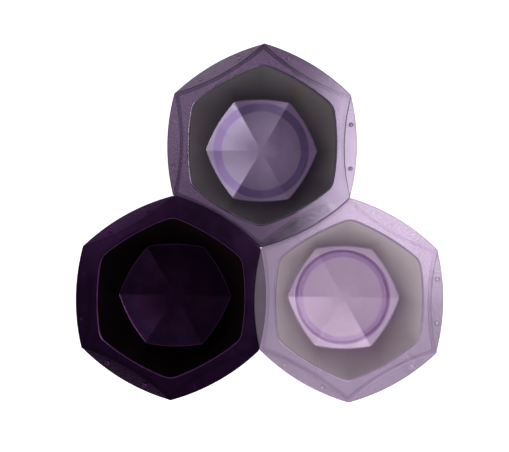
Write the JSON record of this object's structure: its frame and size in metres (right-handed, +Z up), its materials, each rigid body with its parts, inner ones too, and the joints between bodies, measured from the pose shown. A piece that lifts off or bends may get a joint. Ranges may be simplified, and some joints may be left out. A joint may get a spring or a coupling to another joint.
{
  "type": "hair colour bowl set",
  "caption": "Hexagonal hair colour bowls with bowed rim tabs that lap over each other to lock the bowls together; faceted floor, round foot and soft non-slip ring.",
  "frame": {"origin": "on the surface the bowls stand on, under the point where the corners of the bowls meet, which is the middle of the set's box", "axes": "+X across the two front bowls, from the dark one to the lilac one; +Y towards the smoky bowl at the back; +Z up"},
  "size_m": [0.2294, 0.2236, 0.058],
  "materials": {
    "smoky_plastic": "polished see-through mid smoky purple plastic",
    "smoky_ring_rubber": "soft see-through mid smoky purple rubber, satin",
    "dark_plastic": "polished see-through near-black purple plastic",
    "dark_ring_rubber": "soft see-through near-black purple rubber, satin",
    "lilac_plastic": "polished see-through pale lilac plastic",
    "lilac_ring_rubber": "soft see-through pale lilac rubber, satin"
  },
  "bodies": {
    "smoky_bowl": {"smoky_bowl_shell": "smoky_plastic", "smoky_nonslip_ring": "smoky_ring_rubber", "smoky_stud_1": "smoky_plastic", "smoky_stud_2": "smoky_plastic", "smoky_stud_3": "smoky_plastic", "smoky_stud_4": "smoky_plastic", "smoky_stud_5": "smoky_plastic", "smoky_stud_6": "smoky_plastic"},
    "dark_bowl": {"dark_bowl_shell": "dark_plastic", "dark_nonslip_ring": "dark_ring_rubber", "dark_stud_1": "dark_plastic", "dark_stud_2": "dark_plastic", "dark_stud_3": "dark_plastic", "dark_stud_4": "dark_plastic", "dark_stud_5": "dark_plastic", "dark_stud_6": "dark_plastic"},
    "lilac_bowl": {"lilac_bowl_shell": "lilac_plastic", "lilac_nonslip_ring": "lilac_ring_rubber", "lilac_stud_1": "lilac_plastic", "lilac_stud_2": "lilac_plastic", "lilac_stud_3": "lilac_plastic", "lilac_stud_4": "lilac_plastic", "lilac_stud_5": "lilac_plastic", "lilac_stud_6": "lilac_plastic"}
  },
  "joints": [
    {"name": "dark_bowl_undock", "type": "slide", "parent": "smoky_bowl", "child": "dark_bowl", "axis": [-0.866, -0.5, 0], "range_m": [0, 0.04]},
    {"name": "lilac_bowl_undock", "type": "slide", "parent": "smoky_bowl", "child": "lilac_bowl", "axis": [0.866, -0.5, 0], "range_m": [0, 0.04]}
  ]
}
